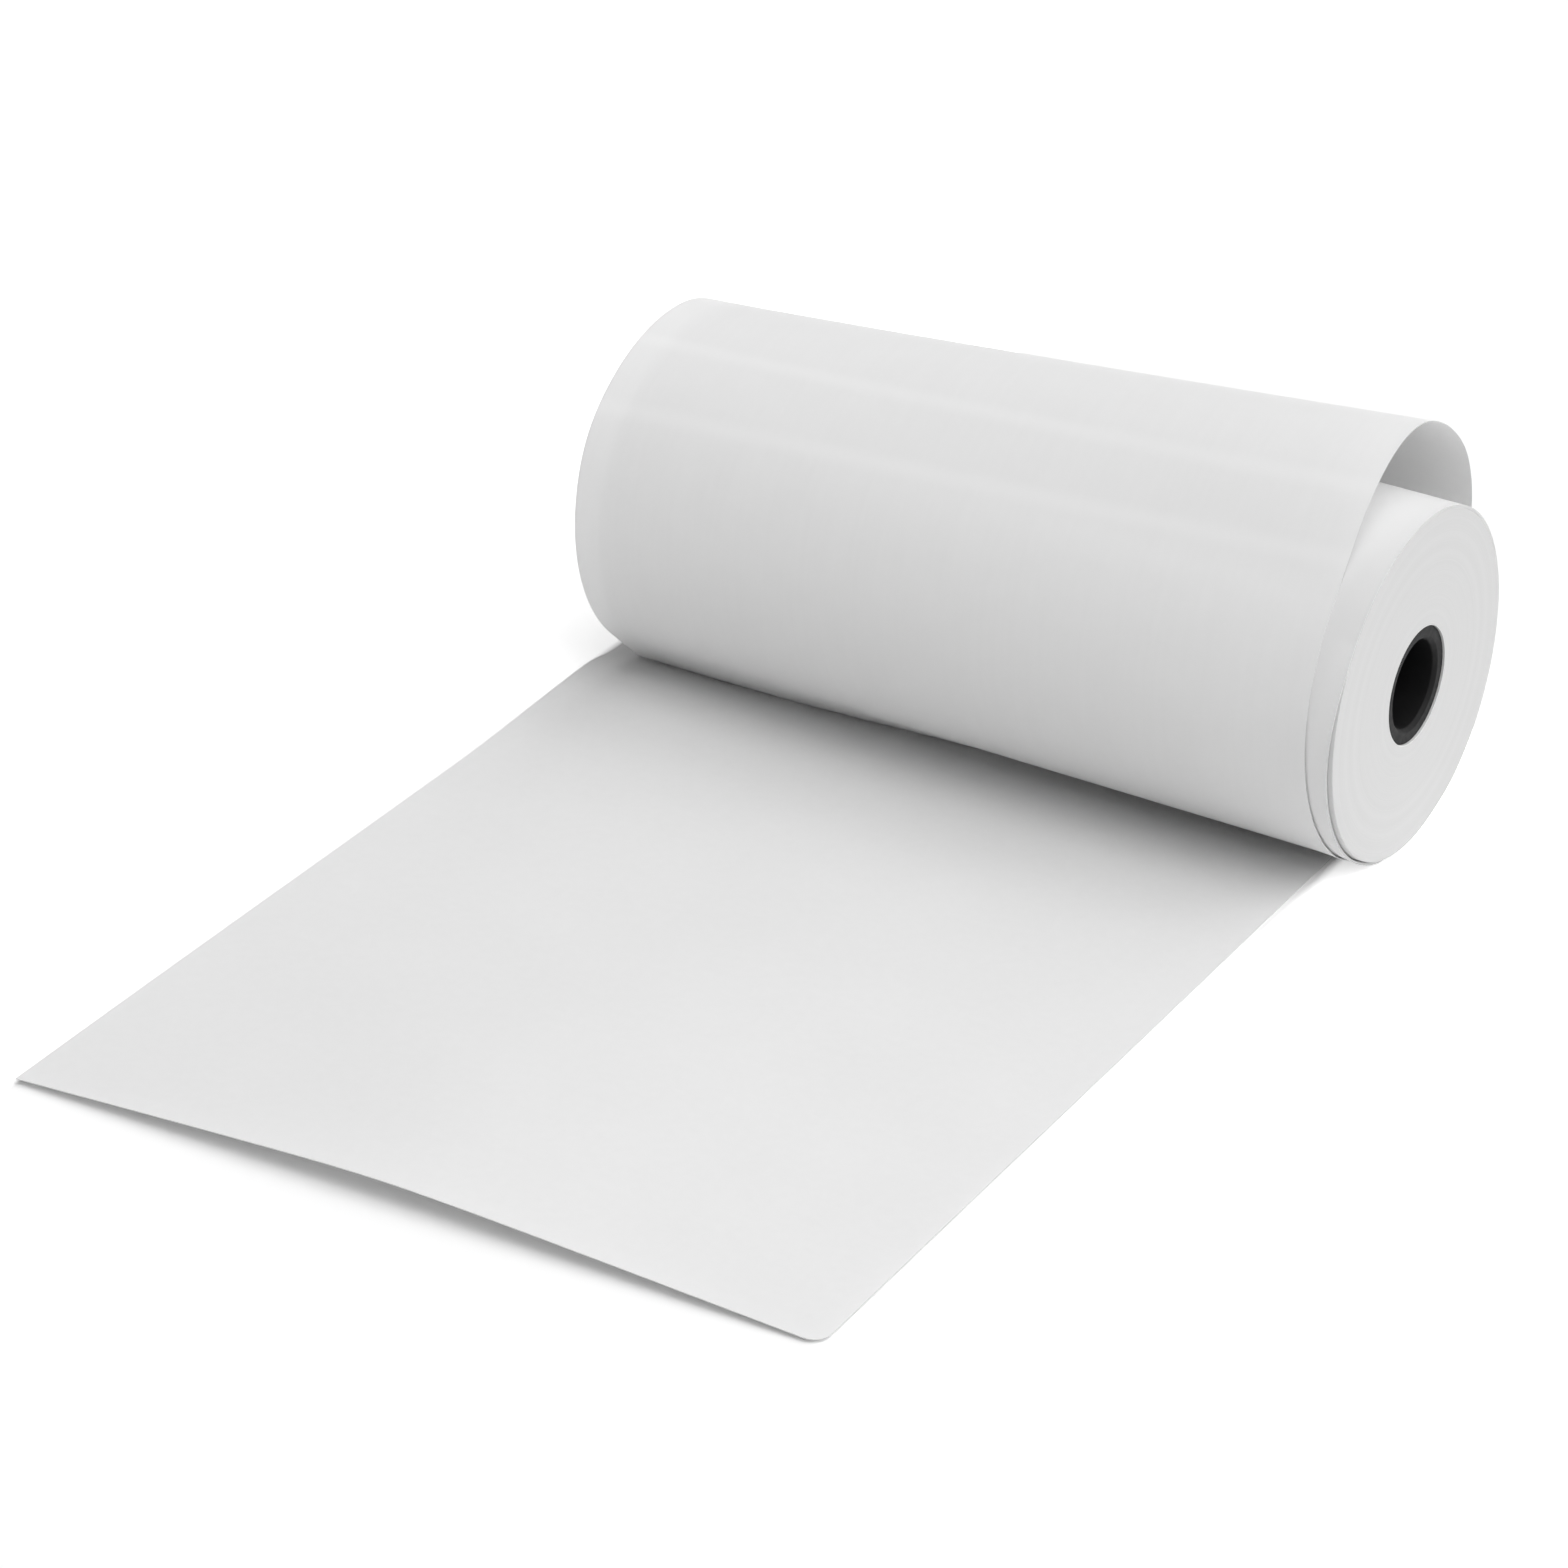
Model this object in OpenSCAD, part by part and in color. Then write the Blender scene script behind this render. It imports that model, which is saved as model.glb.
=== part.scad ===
// A roll of plain thermal paper on a hollow plastic core.
// The web is wound tight, but its outermost turn has worked loose at the right-hand
// end and slid a little along the roll. From under the roll the web is pulled out
// flat, to a straight cut edge whose middle lifts slightly off the table.
// The bore runs along X, the sheet runs out towards -Y, and Z is up.

/* [Paper] */
// Width of the web
web_w = 110; // [57:1:216]
// Thickness of one sheet
paper_t = 0.085; // [0.06:0.005:0.15]
// Diameter over the tight turns
roll_d = 48; // [40:1:70]
// Width of the flat spot that the roll rests on
flat_spot_w = 6; // [2:0.5:10]

/* [Turns at the end faces] */
// Radial distance between the visible groups of turns
ring_pitch = 1.6; // [1:0.1:4]
// Most that one group of turns is set back from the end face
ring_step = 0.12; // [0.02:0.01:0.4]
// How far the last tight turn is set back from the end face
last_turn_step = 0.8; // [0.2:0.1:2]
// Thickness of the last tight turn with the few below it that went along
last_turn_t = 0.17; // [0.1:0.01:0.5]

/* [Loose turn] */
// How far the loose turn stands off the roll at the right-hand end
slack_right = 9.4; // [0:0.1:12]
// How far it stands off at the left-hand end
slack_left = 0.3; // [0:0.1:4]
// Angle above the front at which the turn leaves the roll
slack_from = 40; // [20:1:60]
// Angle, on towards the back, at which it stands off furthest
slack_peak = 110; // [90:1:130]
// Angle, down the back, at which it comes back to the roll
slack_to = 215; // [190:1:225]
// Angle below the front at which it runs in under the sheet
turn_end = 68; // [50:1:75]
// How far the web lies left of the roll's right-hand end where it touches the table
slide_contact = 6.9; // [0:0.1:10]
// Sideways run of the web on the front of the roll, in mm for each mm
slide_front = 0.055; // [0:0.001:0.1]

/* [Sheet] */
// Length of the sheet in front of the roll, along its right-hand edge
sheet_l = 145.3; // [60:0.1:300]
// Angle between the sheet's edges and the square to the roll
sheet_skew = 2.54; // [0:0.01:5]
// Angle between the cut edge and the roll
cut_skew = 2.2; // [0:0.1:5]
// Height of the soft ridge that lifts the middle of the cut edge
arch_h = 2.6; // [0:0.1:8]
// Place of the ridge across the sheet, as a share from its left-hand edge
arch_u = 0.47; // [0.3:0.01:0.7]
// Radius of the worn right-hand corner
corner_r = 2.4; // [0.5:0.1:6]

/* [Core] */
// Outside diameter of the core
core_d = 16; // [14:0.5:26]
// Diameter of the bore
bore_d = 12; // [8:0.5:13]
// Lead-in chamfer at each end of the bore
lead_in = 0.5; // [0.2:0.1:0.8]
// How far each end of the core stands back from the end face
core_setback = 0.3; // [0.15:0.05:1]

/* [Hidden] */
$fn = 128;
roll_r = roll_d / 2;
// Height that the flat spot takes off the underside of the roll
flat_sag = roll_r - sqrt(roll_r^2 - (flat_spot_w / 2)^2);
// Top face of the sheet where it lies on the table, and the table itself
sheet_z = flat_sag - roll_r;
table_z = sheet_z - paper_t;
// Depth by which the web is let into the turns below it, where it lies on them, and
// the stand-off at which its inner face has come clear of them
bond = 0.3;
clear_of = 3 * paper_t;
// Depth below the roll's surface at which the loose turn's inner end is buried
buried = 0.05;
// Angle for each step of the web around the roll, and the angle of the contact line
turn_step = 5;
contact = 270;
// Length of web on the roll over which its sideways run turns round
slide_turn_l = roll_r * PI / 180 * (contact - slack_from) * 2 / 3;
// Share of the sheet, next to the roll, that lies wholly flat
flat_share = 0.15;
// Share of the ridge's half width that its rounded crest takes
crest = 0.2;
// Rows along the sheet, as shares of the way to the cut edge
along = [1, 0.93, 0.86, 0.74, 0.6, 0.45, 0.3, 0.15, 0.06];
// Places across the web, from 0 at its left-hand edge to 1 at its right, closer
// together in the worn corner
corner_share = corner_r / web_w;
across = [
    for (i = [0:8]) i / 8 * (1 - corner_share),
    for (a = [30:30:90]) 1 - corner_share * (1 - sin(a))
];

// Smooth step from 0 at t = 0 to 1 at t = 1
function ease(t) = let (c = min(max(t, 0), 1)) c * c * (3 - 2 * c);

// Distance that the loose turn stands off the roll, at angle a and place u
function slack(a, u) =
    let (foot = a < slack_peak ? slack_from : slack_to)
    let (share = max(0, (a - foot) / (slack_peak - foot)))
    (slack_left + (slack_right - slack_left) * u) * sin(90 * share)^2;

// Sideways place of the web's middle, s mm along the web behind the contact line
function slide(s) = -slide_contact + (s < 0 ? -s * tan(sheet_skew) :
    let (run = tan(sheet_skew) + slide_front)
    let (t = min(s, slide_turn_l))
    -tan(sheet_skew) * s + run * (t^2 / slide_turn_l / 2 + s - t));

// Height of the ridge above the table at place u, y in front of the roll: straight
// flanks and a rounded crest, rising from nothing near the roll to the cut edge
function ridge(y, u) =
    let (d = (u - arch_u) / (u < arch_u ? arch_u : 1 - arch_u))
    let (flank = (sqrt(d^2 + crest^2) - crest) / (sqrt(1 + crest^2) - crest))
    arch_h * (1 - flank) * ease((-y / sheet_l - flat_share) / (1 - flat_share));

// Distance by which the worn corner takes back the cut edge
function corner(u) = let (v = max(0, (u - 1) / corner_share + 1))
    corner_r * (1 - sqrt(1 - v^2));

// One row of the sheet on the table, share f of the way to the cut edge
function sheet_row(f, up) = [for (u = across)
    let (whole = sheet_l + (1 - u) * web_w * tan(cut_skew))
    let (y = f == 1 ? corner(u) - whole : -f * whole)
    [slide(y) + (u - 0.5) * web_w, y, table_z + (up ? paper_t : 0) + ridge(y, u)]];

// One row of the web around the roll at angle a. Its outer face is up = false. Its
// inner face is let into the roll wherever the web lies on it.
function turn_row(a, up) = [for (u = across)
    let (off = slack(a, u))
    let (lean = asin((slack(a, 1) - slack(a, 0)) / web_w))
    let (sunk = bond * ease(1 - off / clear_of))
    let (dive = (paper_t + buried) * ease((-turn_end - a) / turn_step))
    let (r = roll_r + off - dive + (up ? -sunk : paper_t))
    let (low = up ? sheet_z + sunk : table_z)
    [slide((contact - a) * PI / 180 * roll_r) + (u - 0.5) * web_w * cos(lean),
        -r * cos(a), max(r * sin(a), low)]];

// Rows of the whole web, from the cut edge to where the turn runs in
function web(up) = [
    for (f = along) sheet_row(f, up),
    for (a = [contact + turn_step:-turn_step:-turn_end - turn_step]) turn_row(a, up)
];

// A quadrilateral that need not be flat, as two triangles
function quad(a, b, c, d) = [[a, b, c], [a, c, d]];

// The solid between a sheet's two faces, each a list of rows of points
module sheet_between(lower, upper) {
    cols = len(lower[0]);
    half = len(lower) * cols;
    m = len(lower) - 1;
    n = cols - 1;
    // Point j across row i, on the lower face or on the upper one
    function at(i, j, up = false) = i * cols + j + (up ? half : 0);
    polyhedron(
        points = [for (row = lower) each row, for (row = upper) each row],
        faces = [
            for (i = [0:m - 1], j = [0:n - 1])
                each quad(at(i, j), at(i, j + 1), at(i + 1, j + 1), at(i + 1, j)),
            for (i = [0:m - 1], j = [0:n - 1])
                each quad(at(i, j, true), at(i + 1, j, true), at(i + 1, j + 1, true), at(i, j + 1, true)),
            for (i = [0:m - 1])
                each quad(at(i, 0), at(i + 1, 0), at(i + 1, 0, true), at(i, 0, true)),
            for (i = [0:m - 1])
                each quad(at(i, n), at(i, n, true), at(i + 1, n, true), at(i + 1, n)),
            for (j = [0:n - 1])
                each quad(at(0, j), at(0, j, true), at(0, j + 1, true), at(0, j + 1)),
            for (j = [0:n - 1])
                each quad(at(m, j), at(m, j + 1), at(m, j + 1, true), at(m, j, true))
        ]
    );
}

// Outline of the tight winding, as radius against place along the axis. Every turn
// is as wide as the web, so a group set back at one end stands out at the other.
module winding_outline() {
    inner = core_d / 2;
    outer = roll_r - last_turn_t;
    count = floor((outer - inner) / ring_pitch);
    step = (outer - inner) / count;
    // Set-back of group i, spread by steps of the golden angle
    function setback(i) = i == count ? last_turn_step : ring_step * (0.5 + 0.5 * sin(137.5 * i));
    function radius(i) = i > count ? roll_r : inner + i * step;
    polygon(concat(
        [for (i = [0:count], k = [0, 1]) [radius(i + k), web_w / 2 - setback(i)]],
        [for (i = [count:-1:0], k = [1, 0]) [radius(i + k), -web_w / 2 - setback(i)]]
    ));
}

module winding() {
    difference() {
        rotate([0, 90, 0]) rotate_extrude() winding_outline();
        translate([-web_w, -roll_d, sheet_z - roll_d]) cube([2 * web_w, 2 * roll_d, roll_d]);
    }
}

module paper() {
    color([0.95, 0.95, 0.94]) union() {
        winding();
        sheet_between(web(false), web(true));
    }
}

module core() {
    half_l = web_w / 2 - core_setback;
    bore_r = bore_d / 2;
    color([0.1, 0.1, 0.1]) rotate([0, 90, 0]) rotate_extrude() polygon([
        [core_d / 2, -half_l],
        [core_d / 2, half_l],
        [bore_r + lead_in, half_l],
        [bore_r, half_l - lead_in],
        [bore_r, -half_l + lead_in],
        [bore_r + lead_in, -half_l]
    ]);
}

paper();
core();
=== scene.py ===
import bpy
import numpy as np
from mathutils import Matrix


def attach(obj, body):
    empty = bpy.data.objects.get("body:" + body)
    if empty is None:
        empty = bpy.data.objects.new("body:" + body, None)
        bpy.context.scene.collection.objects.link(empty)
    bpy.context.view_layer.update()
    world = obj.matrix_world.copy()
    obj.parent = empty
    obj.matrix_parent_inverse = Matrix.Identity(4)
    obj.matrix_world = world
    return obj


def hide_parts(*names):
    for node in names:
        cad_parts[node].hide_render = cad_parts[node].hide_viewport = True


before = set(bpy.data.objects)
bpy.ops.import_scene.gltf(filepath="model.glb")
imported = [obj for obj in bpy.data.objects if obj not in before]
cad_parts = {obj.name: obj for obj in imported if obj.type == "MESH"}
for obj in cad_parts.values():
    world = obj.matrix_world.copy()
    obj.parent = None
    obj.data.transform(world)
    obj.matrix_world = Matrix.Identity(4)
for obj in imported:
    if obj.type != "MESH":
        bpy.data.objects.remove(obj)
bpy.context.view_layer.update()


# Core. A plain tube of black polystyrene, extruded, cut to length and chamfered in the
# bore. The web is wound straight onto it, and its ends stand back from the paper.
MM = 0.001
web_w = 110.0
core_r = 8.0
bore_r = 6.0
lead_in = 0.5
core_setback = 0.3
core_edge = 0.14


def linear(code):
    """An sRGB hex colour as linear RGBA: c / 12.92 up to 0.04045, then ((c + 0.055) / 1.055) ^ 2.4."""
    c = np.array([int(code[i:i + 2], 16) for i in (1, 3, 5)]) / 255
    return (*np.where(c <= 0.04045, c / 12.92, ((c + 0.055) / 1.055) ** 2.4), 1.0)


def add(tree, kind, settings=None, links=None):
    """Adds a node. Settings go to its sockets by name or number, or else to its own properties,
    which come first, and links feed its sockets from other nodes' outputs."""
    node = tree.nodes.new("ShaderNode" + kind)
    for key, value in (settings or {}).items():
        if isinstance(key, str) and hasattr(node, key):
            setattr(node, key, value)
        else:
            node.inputs[key].default_value = value
    for key, source in (links or {}).items():
        tree.links.new(source, node.inputs[key])
    return node


def material(name):
    """An empty node material with its output node."""
    made = bpy.data.materials.new(name)
    made.use_nodes = True
    made.node_tree.nodes.clear()
    return made, made.node_tree, add(made.node_tree, "OutputMaterial")


def polystyrene():
    """Extruded black polystyrene: satin, with faint die lines along the tube and a few dull scuffs."""
    made, tree, out = material("black polystyrene")
    place = add(tree, "TexCoord").outputs["Object"]
    along = add(tree, "Mapping", {"Scale": (40, 4000, 4000)}, {"Vector": place})
    lines = add(tree, "TexNoise", {"Scale": 1.0, "Detail": 2.0}, {"Vector": along.outputs[0]})
    scuffs = add(tree, "TexNoise", {"Scale": 900.0, "Detail": 4.0, "Roughness": 0.7}, {"Vector": place})
    dull = add(tree, "MapRange", {"From Min": 0.35, "From Max": 0.7, "To Min": 0.5, "To Max": 0.65},
               {"Value": scuffs.outputs[0]})
    tone = add(tree, "ValToRGB", {}, {"Fac": scuffs.outputs[0]})
    tone.color_ramp.elements[0].color = linear("#0C0C0C")
    tone.color_ramp.elements[1].color = linear("#131314")
    height = add(tree, "Math", {"operation": "ADD"}, {0: lines.outputs[0], 1: scuffs.outputs[0]})
    bump = add(tree, "Bump", {"Strength": 0.25, "Distance": 0.02 * MM}, {"Height": height.outputs[0]})
    skin = add(tree, "BsdfPrincipled", {"IOR": 1.59, "Specular IOR Level": 0.1},
               {"Base Color": tone.outputs[0], "Roughness": dull.outputs[0], "Normal": bump.outputs[0]})
    tree.links.new(skin.outputs[0], out.inputs[0])
    return made


def surface(name, points, finishes, slots=None, loop_rows=False, loop_columns=False, caps=()):
    """A smooth mesh through a grid of points in mm, with sharp edges kept above 35 degrees. Each cell is
    a quad between row i and i + 1 and column j and j + 1; a loop goes on to the first one again. Seen
    from outside, the rows run to the right of the columns. Slots gives each cell's finish, and caps
    are further quads, as numbers of points, with the last finish."""
    rows, columns = points.shape[:2]
    number = np.arange(rows * columns).reshape(rows, columns)
    number = np.vstack([number, number[:1]]) if loop_rows else number
    number = np.hstack([number, number[:, :1]]) if loop_columns else number
    cells = np.stack([number[:-1, :-1], number[1:, :-1], number[1:, 1:], number[:-1, 1:]], -1)
    quads = cells.reshape(-1, 4).tolist() + [list(map(int, c)) for c in caps]
    mesh = bpy.data.meshes.new(name)
    mesh.from_pydata((points.reshape(-1, 3) * MM).tolist(), [], quads)
    for finish in finishes:
        mesh.materials.append(finish)
    if slots is not None:
        last = np.full(len(caps), len(finishes) - 1)
        mesh.polygons.foreach_set("material_index", np.concatenate([slots.ravel(), last]).astype(np.int32))
    mesh.shade_smooth()
    mesh.set_sharp_from_angle(angle=np.radians(35))
    piece = bpy.data.objects.new(name, mesh)
    bpy.context.scene.collection.objects.link(piece)
    return piece


def turned(profile, angles):
    """Points of a profile turned about the x axis: column k of row a is (x_k, -r_k cos a, r_k sin a)."""
    x, r = profile.T
    a = angles[:, None]
    return np.stack(np.broadcast_arrays(x, -r * np.cos(a), r * np.sin(a)), -1)


def rounded(corners, radii, steps=4):
    """A closed outline with its corners rounded: a corner c becomes the quadratic curve with c as its
    middle control point, from r mm before it to r mm after it."""
    before = np.roll(corners, 1, 0) - corners
    after = np.roll(corners, -1, 0) - corners
    start = corners + before / np.linalg.norm(before, axis=1)[:, None] * radii[:, None]
    end = corners + after / np.linalg.norm(after, axis=1)[:, None] * radii[:, None]
    t = np.linspace(0, 1, steps + 1)[None, :, None]
    curve = (1 - t) ** 2 * start[:, None] + 2 * t * (1 - t) * corners[:, None] + t ** 2 * end[:, None]
    return curve.reshape(-1, 2)


half_l = web_w / 2 - core_setback
core_outline = rounded(
    np.array([[half_l, core_r], [-half_l, core_r], [-half_l, bore_r + lead_in], [-half_l + lead_in, bore_r],
              [half_l - lead_in, bore_r], [half_l, bore_r + lead_in]]),
    np.array([1, 1, 0.8, 0.8, 0.8, 0.8]) * core_edge)
around = np.radians(np.arange(0, 360, 2.5))
core = surface("core_tube", turned(core_outline, around), [polystyrene()],
               loop_rows=True, loop_columns=True)
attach(core, "root")
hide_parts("core")


# Winding. A few hundred turns of thermal paper 0.085 mm thick, wound tight, so the ends
# show the cut edges of all the turns. It rests on a small flat spot, on its own sheet.
paper_t = 0.085
roll_r = 24.0
flat_spot_w = 6.0
last_turn_t = 0.3
turns_step = 0.17
# Painted highlight: distance of each pale sheen band from the sheet's cut edge, along the web's
# left-hand edge, and how much nearer it lies at the right-hand edge
sheen_bands = (254.1, 6.8), (241.8, 3.9)
sheen_band_w = 2.1
sheet_z = -np.sqrt(roll_r ** 2 - (flat_spot_w / 2) ** 2)
table_z = sheet_z - paper_t


def ease(t):
    """Smooth step: 0 up to t = 0, t^2 (3 - 2 t), then 1 from t = 1."""
    t = np.clip(t, 0, 1)
    return t * t * (3 - 2 * t)


def flattened(points, low):
    """Points of a turned shape that rests on a flat spot: none lies lower than z = low."""
    points[..., 2] = np.maximum(points[..., 2], low)
    return points


def cut_edges():
    """Thermal paper seen at its cut edges: matt white, a fine ring for every few turns, which are
    0.085 mm each and drawn twice as coarse as that, and broader rings where the web ran aside."""
    made, tree, out = material("cut edges of the turns")
    place = add(tree, "SeparateXYZ", {}, {0: add(tree, "TexCoord").outputs["Object"]})
    across = add(tree, "CombineXYZ", {}, {"Y": place.outputs["Y"], "Z": place.outputs["Z"]})
    radius = add(tree, "VectorMath", {"operation": "LENGTH"}, {0: across.outputs[0]}).outputs["Value"]
    fine = add(tree, "TexNoise", {"noise_dimensions": "1D", "Scale": 1 / (0.17 * MM), "Detail": 1.0},
               {"W": radius})
    broad = add(tree, "TexNoise", {"noise_dimensions": "1D", "Scale": 1 / (1.3 * MM), "Detail": 3.0},
                {"W": radius})
    both = add(tree, "Math", {"operation": "ADD"}, {0: fine.outputs[0], 1: broad.outputs[0]})
    tone = add(tree, "MapRange", {"From Min": 0.7, "From Max": 1.3}, {"Value": both.outputs[0]})
    colour = add(tree, "Mix", {"data_type": "RGBA", 6: linear("#CBCBCB"), 7: linear("#CECECE")},
                 {0: tone.outputs[0]})
    bump = add(tree, "Bump", {"Strength": 0.25, "Distance": 0.03 * MM}, {"Height": both.outputs[0]})
    skin = add(tree, "BsdfPrincipled", {"Roughness": 0.8, "IOR": 1.45, "Specular IOR Level": 0.2},
               {"Base Color": colour.outputs[2], "Normal": bump.outputs[0]})
    tree.links.new(skin.outputs[0], out.inputs[0])
    return made


def thin_paper(tree, skin, out):
    """Lets a share of the light through the sheet: paper of 80 g/m2 is about 88% opaque."""
    through = add(tree, "BsdfTranslucent", {"Color": linear("#F8F8F8")})
    mixed = add(tree, "MixShader", {0: 0.21}, {1: skin.outputs[0], 2: through.outputs[0]})
    tree.links.new(mixed.outputs[0], out.inputs[0])


def coated_face():
    """The heat-sensitive side of thermal paper, which is wound outwards: smooth and calendered, with
    a low sheen, faint clouds in the sheet, fine streaks along the web from the coating blade, and
    two faint paler bands aslant across it, 2 mm wide: a painted highlight for the lamps' sheen."""
    made, tree, out = material("coated face of thermal paper")
    flat = add(tree, "TexCoord").outputs["UV"]
    stretched = add(tree, "Mapping", {"Scale": (1, 0.04, 1)}, {"Vector": flat})
    streaks = add(tree, "TexNoise", {"Scale": 1 / (0.9 * MM), "Detail": 3.0},
                  {"Vector": stretched.outputs[0]})
    clouds = add(tree, "TexNoise", {"Scale": 1 / (6 * MM), "Detail": 5.0, "Roughness": 0.6},
                 {"Vector": flat})
    fibres = add(tree, "TexNoise", {"Scale": 1 / (0.35 * MM), "Detail": 3.0}, {"Vector": flat})
    both = add(tree, "Math", {"operation": "ADD"}, {0: streaks.outputs[0], 1: clouds.outputs[0]})
    tone = add(tree, "MapRange", {"From Min": 0.7, "From Max": 1.3}, {"Value": both.outputs[0]})
    colour = add(tree, "Mix", {"data_type": "RGBA", 6: linear("#F3F3F3"), 7: linear("#F5F5F5")},
                 {0: tone.outputs[0]})
    cut = add(tree, "SeparateXYZ", {}, {0: flat})
    # Painted highlight: each band mixes the colour towards #FAFAFA where the lamps' sheen would lie
    for start, slant in sheen_bands:
        line = add(tree, "Math", {"operation": "MULTIPLY_ADD", 1: slant / web_w},
                   {0: cut.outputs["X"], 2: cut.outputs["Y"]})
        off = add(tree, "Math", {"operation": "SUBTRACT", 1: start * MM}, {0: line.outputs[0]})
        off = add(tree, "Math", {"operation": "ABSOLUTE"}, {0: off.outputs[0]})
        band = add(tree, "MapRange", {"interpolation_type": "SMOOTHSTEP", "From Min": 0.0,
                                      "From Max": sheen_band_w * MM, "To Min": 0.6, "To Max": 0.0},
                   {"Value": off.outputs[0]})
        colour = add(tree, "Mix", {"data_type": "RGBA", 7: linear("#FAFAFA")},
                     {0: band.outputs[0], 6: colour.outputs[2]})
    gloss = add(tree, "MapRange", {"From Min": 0.7, "From Max": 1.3, "To Min": 0.42, "To Max": 0.48},
                {"Value": both.outputs[0]})
    bump = add(tree, "Bump", {"Strength": 0.12, "Distance": 0.01 * MM}, {"Height": fibres.outputs[0]})
    skin = add(tree, "BsdfPrincipled", {"IOR": 1.48, "Specular IOR Level": 0.25},
               {"Base Color": colour.outputs[2], "Roughness": gloss.outputs[0], "Normal": bump.outputs[0]})
    thin_paper(tree, skin, out)
    return made


def plain_face():
    """The uncoated side of thermal paper, which lies inwards: matt, with the soft clouds of its
    fibres, about 1.5 mm across, and a fine tooth."""
    made, tree, out = material("plain face of thermal paper")
    flat = add(tree, "TexCoord").outputs["UV"]
    clouds = add(tree, "TexNoise", {"Scale": 1 / (1.5 * MM), "Detail": 4.0, "Roughness": 0.6},
                 {"Vector": flat})
    broad = add(tree, "TexNoise", {"Scale": 1 / (22 * MM), "Detail": 2.0}, {"Vector": flat})
    fibres = add(tree, "TexNoise", {"Scale": 1 / (0.3 * MM), "Detail": 4.0, "Roughness": 0.7},
                 {"Vector": flat})
    both = add(tree, "Math", {"operation": "ADD"}, {0: clouds.outputs[0], 1: broad.outputs[0]})
    tone = add(tree, "MapRange", {"From Min": 0.7, "From Max": 1.3}, {"Value": both.outputs[0]})
    colour = add(tree, "Mix", {"data_type": "RGBA", 6: linear("#EDEDED"), 7: linear("#F0F0F0")},
                 {0: tone.outputs[0]})
    bump = add(tree, "Bump", {"Strength": 0.3, "Distance": 0.015 * MM}, {"Height": fibres.outputs[0]})
    skin = add(tree, "BsdfPrincipled", {"Roughness": 0.75, "IOR": 1.45, "Specular IOR Level": 0.2},
               {"Base Color": colour.outputs[2], "Normal": bump.outputs[0]})
    thin_paper(tree, skin, out)
    return made


rng = np.random.default_rng(48)
winding_r = roll_r - last_turn_t
# Radius at each group of turns, from the outermost to the core, and how far that group stands
# out at the right-hand end: a slow wander of the web, which grows near the core, where the
# winding started, and a little from group to group
ring_r = np.arange(winding_r, core_r, -turns_step / 2)
wander = np.interp(ring_r, np.linspace(core_r, winding_r, 14), rng.normal(0, 0.006, 14))
ragged = rng.normal(0, 1, len(ring_r)) * (0.001 + 0.007 * np.exp(-(ring_r - core_r) / 1.6))
out_by = wander + ragged - 0.03
out_by[:2] = -0.12, -0.04
right_face = np.stack([web_w / 2 + out_by, ring_r], 1)
left_face = np.stack([-web_w / 2 + out_by, ring_r], 1)[::-1]
winding_outline = np.vstack([right_face, left_face])
ring_count = len(ring_r)
slots = np.zeros((len(around), 2 * ring_count), int)
# The hole and the outer side are faces of the web, not cut edges
slots[:, ring_count - 1] = 1
slots[:, -1] = 1
winding = surface("tight_winding", flattened(turned(winding_outline[::-1], around), sheet_z),
                  [cut_edges(), coated_face()], slots[:, ::-1], loop_rows=True, loop_columns=True)
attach(winding, "root")
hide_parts("paper")


# Last tight turns. The two turns on top have run aside a little, so at the right-hand
# end their edge stops short of the end face and springs up off the turns below it.
last_turn_step = 0.65
spring = 0.28
spring_w = 2.6
spring_above, spring_below = 34, 130


def last_turns_outline(a):
    """Closed outline of the last tight turns at each angle a: over the top from right to left, and
    back below. The right-hand edge is set back by step * w and lifted by spring * w * t^2 over its
    last few mm, where w is 1 low on the front and eases to 0 above it and below the roll."""
    below = np.degrees(np.arctan2(-np.sin(a), np.cos(a)))
    w = ease((spring_above + below) / 45) * ease((spring_below - below) / 40)
    t = np.array([1, 0.85, 0.7, 0.5, 0.3, 0.15, 0, 0])
    right = web_w / 2 - 0.05 - last_turn_step * w
    x = right[:, None] - spring_w * (1 - t)
    x[:, -1] = -web_w / 2 - 0.1
    r = roll_r + spring * w[:, None] * t ** 2
    return np.hstack([x, x[:, ::-1]]), np.hstack([r, (r - last_turn_t)[:, ::-1]])


x, r = last_turns_outline(around)
a = around[:, None]
last_turns = np.stack([x, -r * np.cos(a), r * np.sin(a)], -1)
half = x.shape[1] // 2
slots = np.zeros((len(around), x.shape[1]), int)
slots[:, half - 1] = 1
slots[:, -1] = 1
sleeve = surface("last_tight_turns", flattened(last_turns, sheet_z), [coated_face(), cut_edges()], slots,
                 loop_rows=True, loop_columns=True)
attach(sleeve, "root")
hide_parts("paper")


# Loose turn and sheet. The web's outermost turn has worked loose at the right-hand end
# and slid along the roll. Under the roll it is pulled out flat, to a straight cut edge
# whose middle lifts off the table. One strip of thermal paper, held by nothing.
slack_right = 9.4
slack_left = 0.4
slack_from, slack_top, slack_back, slack_to = 46, 112, 134, 207
# The left-hand edge strays aside, most from the top of the turn to its back, and less on its front
aside = 1.35
aside_from, aside_to = 22, 215
aside_front = 0.15
aside_front_to = 60
leave_left, leave_right = -48, -75
turn_end = 75
buried = 0.05
contact = 270
slide_contact = 6.9
slide_front = 0.055
sheet_l = 146.0
sheet_skew = np.tan(np.radians(2.54))
cut_skew = np.tan(np.radians(2.46))
stand_left, stand_right = 0.7, 0.4
arch_h = 2.5
rise_h = 0.9
rise_u = 0.5
rise_from, rise_top, rise_to = 9, 17, 51
arch_u = 0.47
corner_r = 2.4
flat_share = 0.15
crest = 0.2
edge_lift = 0.32
edge_lift_w = 6.0
lift_above, lift_below = 25, -66


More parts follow.
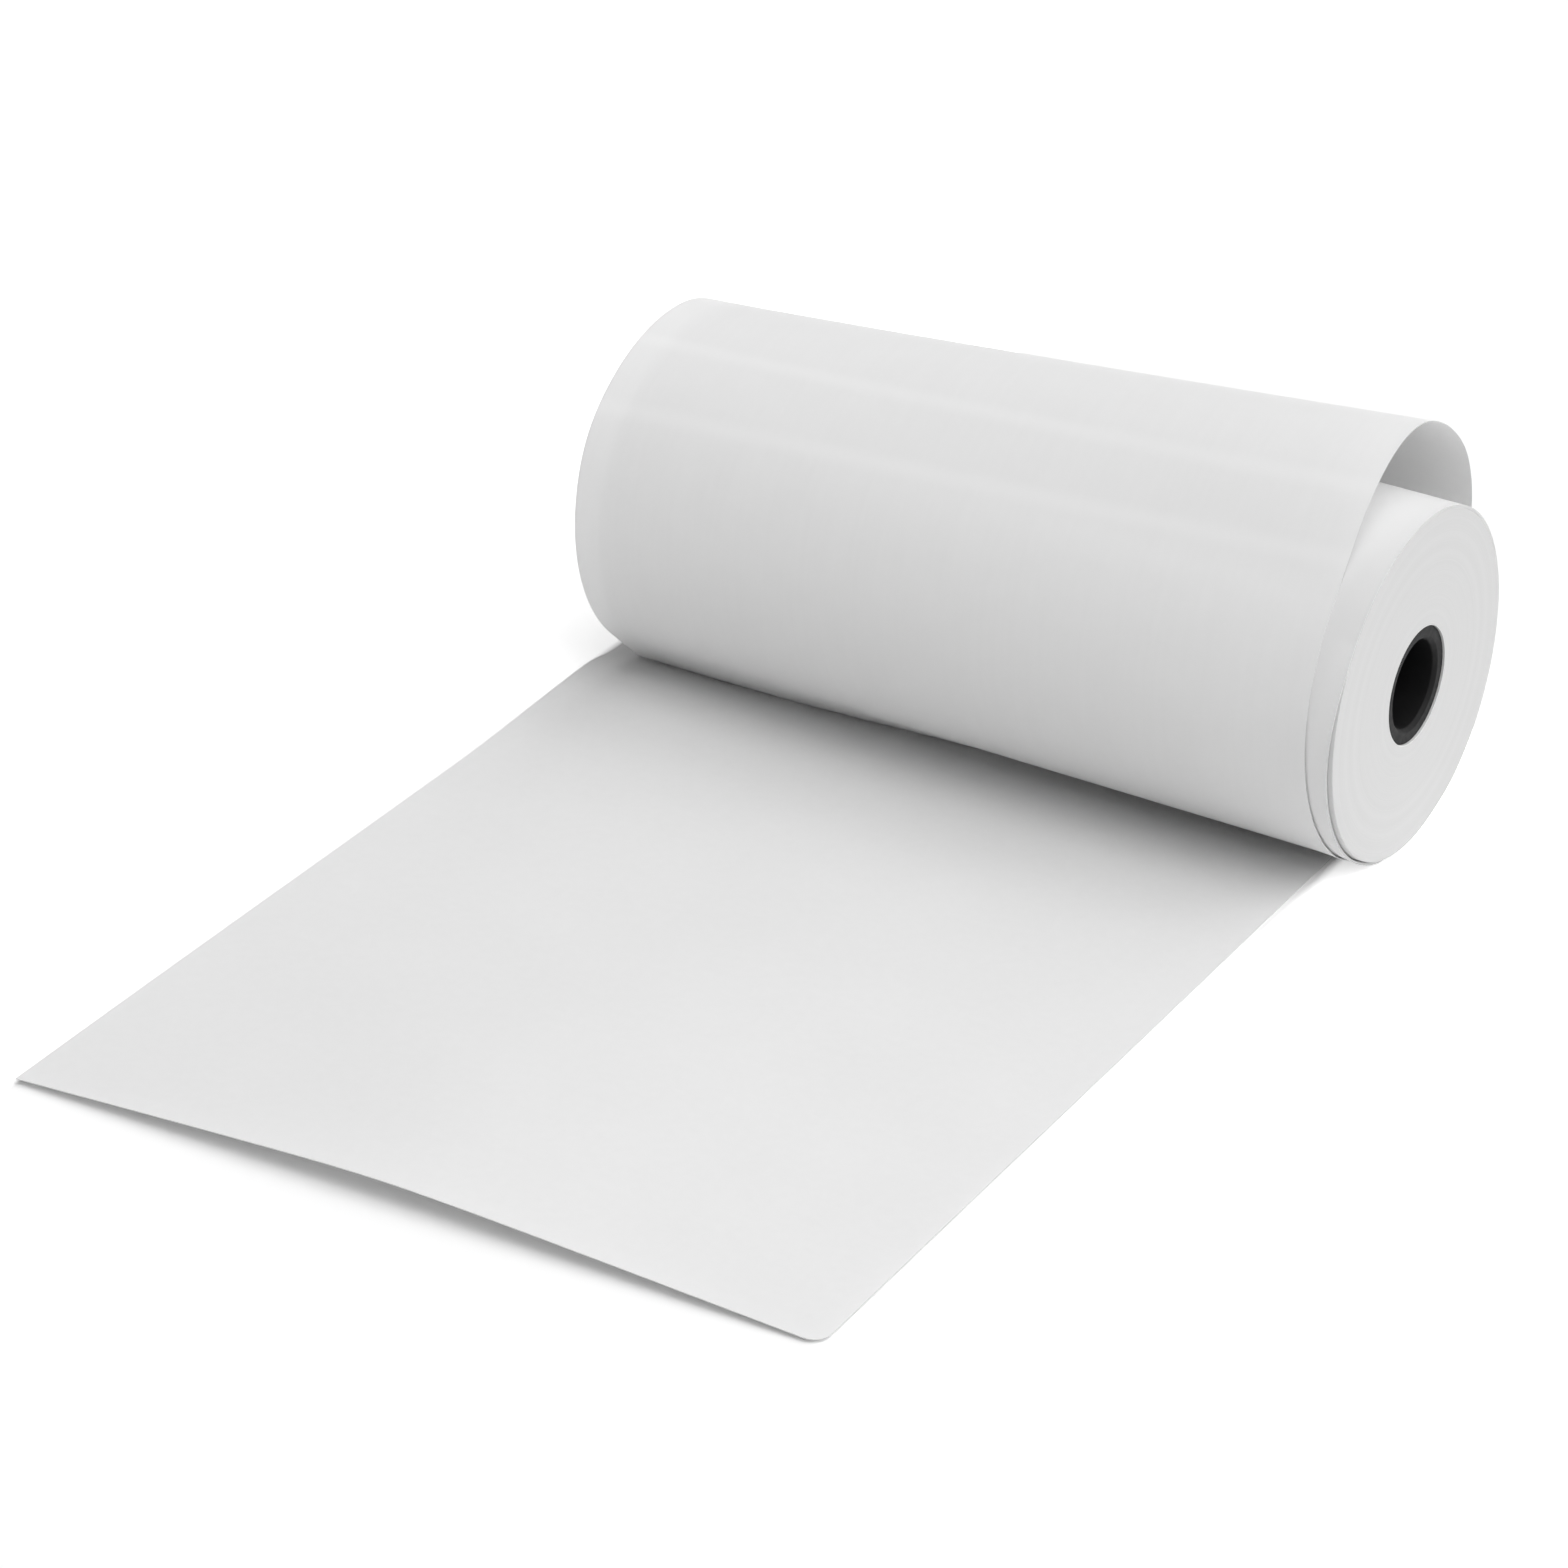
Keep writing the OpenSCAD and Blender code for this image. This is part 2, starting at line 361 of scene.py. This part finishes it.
def slack(a, u):
    """Distance that the loose turn stands off the roll at angle a and place u: it grows as u^1.09
    from left to right, and as sin^1.9 from its foot on either side to the top."""
    front = np.sin(np.pi / 2 * np.clip((a - slack_from) / (slack_top - slack_from), 0, 1))
    behind = np.sin(np.pi / 2 * np.clip((slack_to - a) / (slack_to - slack_back), 0, 1))
    return (slack_left + (slack_right - slack_left) * u ** 1.09) * (front * behind) ** 1.9


def sag(a, u):
    """Distance of the web from the roll low on its front. There it leaves the roll along a tangent,
    R / cos(leave - a) from the axis, higher up at the left-hand edge than at the right-hand one."""
    leave = leave_left + (leave_right - leave_left) * ease((u - 0.1) / 0.8)
    return (roll_r + paper_t) * (1 / np.cos(np.radians(np.maximum(leave - a, 0))) - 1)


def rise(y, u):
    """Height by which the sheet rises off the table just in front of the roll, at its left-hand edge."""
    up = ease((-y - rise_from) / (rise_top - rise_from))
    down = 1 - ease((-y - rise_top) / (rise_to - rise_top))
    return rise_h * up * down * (1 - ease(u / rise_u))


def slide(s):
    """Sideways place of the web's middle, s mm along the web behind the contact line. Its run turns
    evenly from the sheet's skew to the run on the front of the roll over two thirds of the turn."""
    bend = roll_r * np.radians(contact - slack_from) * 2 / 3
    run = sheet_skew + slide_front
    t = np.minimum(s, bend)
    behind = -sheet_skew * s + run * (t ** 2 / bend / 2 + s - t)
    return -slide_contact + np.where(s < 0, -s * sheet_skew, behind)


def ridge(y, u):
    """Height of the sheet above the table: a little over its whole width, and straight flanks with a
    rounded crest, (sqrt(d^2 + c^2) - c) / (sqrt(1 + c^2) - c) below it, easing in to the cut edge."""
    d = (u - arch_u) / np.where(u < arch_u, arch_u, 1 - arch_u)
    flank = (np.sqrt(d ** 2 + crest ** 2) - crest) / (np.sqrt(1 + crest ** 2) - crest)
    stand = stand_left + (stand_right - stand_left) * u
    return (stand + arch_h * (1 - flank)) * ease((-y / sheet_l - flat_share) / (1 - flat_share))


def worn_corner(u):
    """Distance that the worn right-hand corner takes off the cut edge: a quarter circle."""
    v = np.maximum(0, (u - 1) * web_w / corner_r + 1)
    return corner_r * (1 - np.sqrt(1 - v ** 2))


def sheet_rows(f, u):
    """The web on the table, at shares f of the way to the cut edge."""
    y = -f * (sheet_l + (1 - u) * web_w * cut_skew - worn_corner(u))
    return np.stack([slide(y) + (u - 0.5) * web_w, y, table_z + ridge(y, u) + rise(y, u)], -1)


def turn_rows(a, u):
    """The web around the roll at angles a: x slides along, and the radius is the roll's with the
    web's thickness, the slack and the lift of its free edge, t^2 over its last few mm."""
    lean = np.arcsin((slack(a, 1) - slack(a, 0)) / web_w)
    free = ease((lift_above - a) / 30) * ease((a - lift_below) / 14)
    lift = edge_lift * free * np.maximum(0, 1 - (1 - u) * web_w / edge_lift_w) ** 2
    dive = (paper_t + buried) * ease((-turn_end - a) / 5)
    r = roll_r + paper_t + slack(a, u) + sag(a, u) + lift - dive
    x = slide(np.radians(contact - a) * roll_r) + (u - 0.5) * web_w * np.cos(lean)
    stray = aside * ease((a - aside_from) / 75) * ease((aside_to - a) / 60)
    x = x + (1 - u) * (stray - aside_front * ease((aside_front_to - a) / 30))
    t = np.radians(a)
    y = -r * np.cos(t)
    low = np.where(a < 0, sheet_z + 0.01 + rise(y, u), table_z)
    return np.stack([x, y, np.maximum(r * np.sin(t), low)], -1)


corner_u = corner_r / web_w
free_u = 1 - edge_lift_w / web_w
u = np.concatenate([
    np.linspace(0, free_u, 62, endpoint=False),
    np.linspace(free_u, 1 - corner_u, 8, endpoint=False),
    1 - corner_u * (1 - np.sin(np.radians(np.linspace(0, 90, 12))))])[None, :]
f = np.concatenate([np.linspace(1, 0.985, 7), np.linspace(0.985, 0.02, 74)[1:]])[:, None]
a = np.arange(contact + 6, -turn_end - 7, -1.5)[:, None]
outer = np.vstack([sheet_rows(f, u), turn_rows(a, u)])
# The inner face lies one thickness from the outer one, along the normal of the grid
outward = np.cross(np.gradient(outer, axis=0), np.gradient(outer, axis=1))
outward /= -np.linalg.norm(outward, axis=-1, keepdims=True)
outward *= np.sign(outward[:1, :1, 2:] * -1)
inner = outer - outward * paper_t
web = np.hstack([outer, inner[:, ::-1]])
rows, columns = web.shape[:2]
n = columns // 2
j = np.arange(n - 1)
first = np.stack([j, j + 1, columns - 2 - j, columns - 1 - j], 1)
last = (rows - 1) * columns + first[:, ::-1]
slots = np.repeat((np.arange(columns) >= n).astype(int)[None], rows - 1, 0)
slots[:, [n - 1, -1]] = 2
strip = surface("paper_web", web, [coated_face(), plain_face(), cut_edges()], slots,
                loop_columns=True, caps=np.vstack([first, last]))
step = np.linalg.norm(np.diff(outer[:, n // 2], axis=0), axis=1)
length = np.concatenate([[0], np.cumsum(step)])[:, None]
flat = np.stack(np.broadcast_arrays(u * web_w, length), -1) * MM
flat = np.hstack([flat, flat[:, ::-1]]).reshape(-1, 2)
corners = np.empty(len(strip.data.loops), np.int32)
strip.data.loops.foreach_get("vertex_index", corners)
strip.data.uv_layers.new(name="web").data.foreach_set("uv", flat[corners].ravel())
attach(strip, "root")
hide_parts("paper")


# Table: a plain white studio floor, which takes the roll's shadow. Only the camera and
# # the reflections see it lifted on either side of the sheet: painted light, a glow that
# # washes the roll's own shadow away there.
def seen(tree):
    """1 for rays from the camera, a reflection or a transmission, else 0."""
    path = add(tree, "LightPath")
    ray = add(tree, "Math", {"operation": "MAXIMUM"},
              {0: path.outputs["Is Camera Ray"], 1: path.outputs["Is Glossy Ray"]})
    return add(tree, "Math", {"operation": "MAXIMUM"},
               {0: ray.outputs[0], 1: path.outputs["Is Transmission Ray"]}).outputs[0]


white, tree, out = material("white studio floor")
place = add(tree, "SeparateXYZ", {}, {0: add(tree, "TexCoord").outputs["Object"]})
along = add(tree, "Math", {"operation": "MULTIPLY_ADD", 1: float(sheet_skew)},
            {0: place.outputs["Y"], 2: place.outputs["X"]})
middle = add(tree, "Math", {"operation": "ADD", 1: 0.0066}, {0: along.outputs[0]})
aside_x = add(tree, "Math", {"operation": "ABSOLUTE"}, {0: middle.outputs[0]})
# Painted light: an emission seen only by the camera and reflections, which whitens out the roll's shadow
# beside the sheet
painted_glow = add(tree, "MapRange", {"From Min": 0.0552, "From Max": 0.0565, "To Min": 0.0, "To Max": 0.5},
           {"Value": aside_x.outputs[0]})
painted_lift = add(tree, "Math", {"operation": "MULTIPLY"}, {0: seen(tree), 1: painted_glow.outputs[0]})
paint = add(tree, "BsdfPrincipled",
            {"Base Color": linear("#FCFCFC"), "Roughness": 0.9, "Specular IOR Level": 0.2,
             "Emission Color": (1, 1, 1, 1)}, {"Emission Strength": painted_lift.outputs[0]})
tree.links.new(paint.outputs[0], out.inputs[0])
side = 4000.0
ground = np.array([[[-side, -side, 0], [-side, side, 0]], [[side, -side, 0], [side, side, 0]]])
floor = surface("floor", ground + [0, 0, table_z - 0.01], [white])


# Light: a white room, and large soft sources above, behind and to the right.
world = bpy.data.worlds.new("white room")
world.use_nodes = True
tree = world.node_tree
tree.nodes.clear()
room = add(tree, "Background", {"Strength": 0.02})
backdrop = add(tree, "Background", {"Strength": 1.0})
mixed = add(tree, "MixShader", {}, {0: seen(tree), 1: room.outputs[0], 2: backdrop.outputs[0]})
tree.links.new(mixed.outputs[0], add(tree, "OutputWorld").inputs[0])
bpy.context.scene.world = world


def basis(back, roll=0.0):
    """A turn whose own z axis points along back, with its x axis level, then rolled."""
    right = np.array([-back[1], back[0], 0]) / np.hypot(back[0], back[1])
    up = np.cross(back, right)
    c, s = np.cos(roll), np.sin(roll)
    x, y = right * c + up * s, up * c - right * s
    return Matrix(np.vstack([np.stack([x, y, back], 1).tolist(), [0, 0, 0]]).tolist()).to_3x3().to_4x4()


def soft_sun(name, azimuth, elevation, spread, strength):
    """A far soft source: azimuth 0 is in front (-Y), 90 to the right (+X), all in degrees."""
    lamp = bpy.data.lights.new(name, "SUN")
    lamp.energy = strength
    lamp.angle = np.radians(spread)
    az, el = np.radians([azimuth, elevation])
    back = np.array([np.sin(az) * np.cos(el), -np.cos(az) * np.cos(el), np.sin(el)])
    made = bpy.data.objects.new(name, lamp)
    made.matrix_world = basis(back)
    bpy.context.scene.collection.objects.link(made)


soft_sun("overhead light", 180, 89, 60, 0.68)
soft_sun("back light", 158, 43, 60, 1.1)
soft_sun("right light", 90, 40, 60, 1.58)
soft_sun("front right light", 45, 60, 50, 0.84)
soft_sun("low front light", 0, 3, 30, 0.64)


# Camera at the photograph's viewing angle, seen from the right and above.
aim = np.array([-0.02098, -0.03068, -0.0239])
azimuth, elevation, tilt = np.radians([30.561, 27.183, 2.12])
distance = 0.78986
back = np.array([
    np.sin(azimuth) * np.cos(elevation), -np.cos(azimuth) * np.cos(elevation), np.sin(elevation)])
lens = bpy.data.cameras.new("camera")
lens.sensor_width = 36
lens.lens = 136.94
camera = bpy.data.objects.new("camera", lens)
camera.matrix_world = Matrix.Translation(aim + back * distance) @ basis(back, tilt)
bpy.context.scene.collection.objects.link(camera)
bpy.context.scene.camera = camera
bpy.context.scene.view_settings.view_transform = "Standard"
